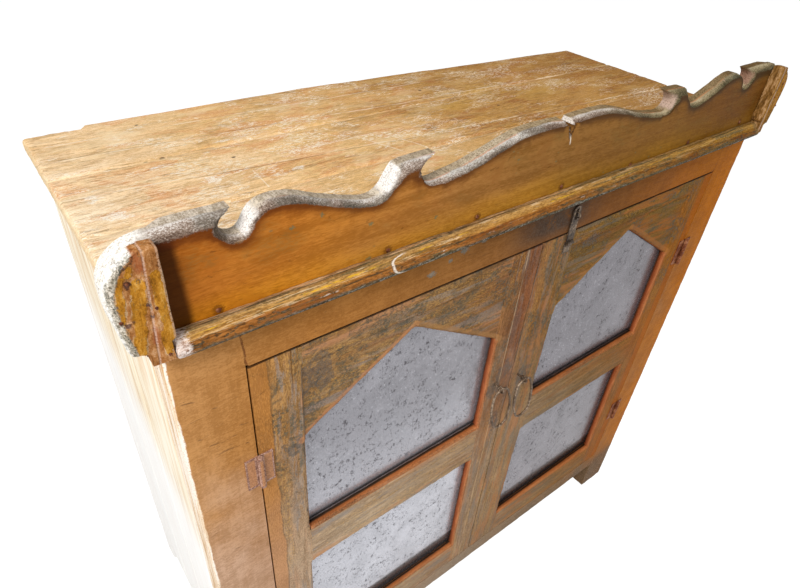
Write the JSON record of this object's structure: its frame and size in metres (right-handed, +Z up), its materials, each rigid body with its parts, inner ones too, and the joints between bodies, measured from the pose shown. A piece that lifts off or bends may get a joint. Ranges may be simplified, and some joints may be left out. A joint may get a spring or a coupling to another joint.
{
  "type": "buffet cabinet",
  "caption": "Small painted wooden buffet cabinet with a scalloped crest board along the front of its top, mirror-panelled doors on butt hinges, ring pulls and a hasp.",
  "frame": {"origin": "bottom centre of the whole cabinet's box, on the floor", "axes": "X runs along the front, -Y is the front with the doors and the crest, +Z is up"},
  "size_m": [1.0708, 0.498, 1.08],
  "materials": {
    "top wood": "weathered, bare",
    "crest paint": "old ochre paint, worn at the edges",
    "moulding paint": "old mustard paint, flaking",
    "frame paint": "old orange ochre paint, satin",
    "door paint": "old yellow and green paint, rubbed",
    "side wood": "pale, dry",
    "inside wood": "rough sawn",
    "mirror": "old mirror with specks",
    "wire iron": "light rust",
    "hinge iron": "rusty, overpainted"
  },
  "bodies": {
    "carcass": {"top_board_front": "top wood", "top_board_middle": "top wood", "top_board_rear": "top wood", "front_stile_left": "frame paint", "front_stile_right": "frame paint", "rear_post_left": "side wood", "rear_post_right": "side wood", "front_top_rail": "frame paint", "front_bottom_rail": "frame paint", "rear_top_rail": "inside wood", "rear_bottom_rail": "inside wood", "side_top_rail_left": "inside wood", "side_top_rail_right": "inside wood", "side_bottom_rail_left": "inside wood", "side_bottom_rail_right": "inside wood", "side_boards_left": "side wood", "side_boards_right": "side wood", "back_boards": "inside wood", "bottom_board": "inside wood", "shelf": "inside wood", "shelf_cleats": "inside wood", "crest_board": "crest paint", "crest_moulding": "moulding paint", "crest_end_left": "moulding paint", "crest_end_right": "moulding paint", "frame_hinge_leaves_left": "hinge iron", "frame_hinge_leaves_right": "hinge iron", "hinge_pins_left": "hinge iron", "hinge_pins_right": "hinge iron", "hasp_staple": "wire iron"},
    "left_door": {"left_door_hinge_stile": "door paint", "left_door_lock_stile": "door paint", "left_door_top_rail": "door paint", "left_door_middle_rail": "door paint", "left_door_bottom_rail": "door paint", "left_door_outer_spandrel": "door paint", "left_door_inner_spandrel": "door paint", "left_door_upper_mirror": "mirror", "left_door_lower_mirror": "mirror", "left_door_backing": "inside wood", "left_door_hinge_leaves": "hinge iron", "left_ring_eye": "wire iron"},
    "right_door": {"right_door_hinge_stile": "door paint", "right_door_lock_stile": "door paint", "right_door_top_rail": "door paint", "right_door_middle_rail": "door paint", "right_door_bottom_rail": "door paint", "right_door_outer_spandrel": "door paint", "right_door_inner_spandrel": "door paint", "right_door_upper_mirror": "mirror", "right_door_lower_mirror": "mirror", "right_door_backing": "inside wood", "right_door_hinge_leaves": "hinge iron", "right_ring_eye": "wire iron", "hasp_anchor": "hinge iron"},
    "left_ring": {"left_ring": "wire iron"},
    "right_ring": {"right_ring": "wire iron"},
    "hasp": {"hasp": "hinge iron"}
  },
  "joints": [
    {"name": "left_door_hinge", "type": "hinge", "parent": "carcass", "child": "left_door", "pos_m": [-0.431, -0.2322, 0.5], "axis": [0, 0, -1], "range_deg": [0, 170]},
    {"name": "right_door_hinge", "type": "hinge", "parent": "carcass", "child": "right_door", "pos_m": [0.431, -0.2322, 0.5], "axis": [0, 0, 1], "range_deg": [0, 170]},
    {"name": "left_ring_swing", "type": "hinge", "parent": "left_door", "child": "left_ring", "pos_m": [-0.036, -0.242, 0.655], "axis": [-1, 0, 0], "range_deg": [-5, 165]},
    {"name": "right_ring_swing", "type": "hinge", "parent": "right_door", "child": "right_ring", "pos_m": [0.0175, -0.242, 0.648], "axis": [-1, 0, 0], "range_deg": [-5, 165]},
    {"name": "hasp_swing", "type": "hinge", "parent": "right_door", "child": "hasp", "pos_m": [0.054, -0.232, 0.8925], "axis": [1, 0, 0], "range_deg": [0, 180]}
  ]
}
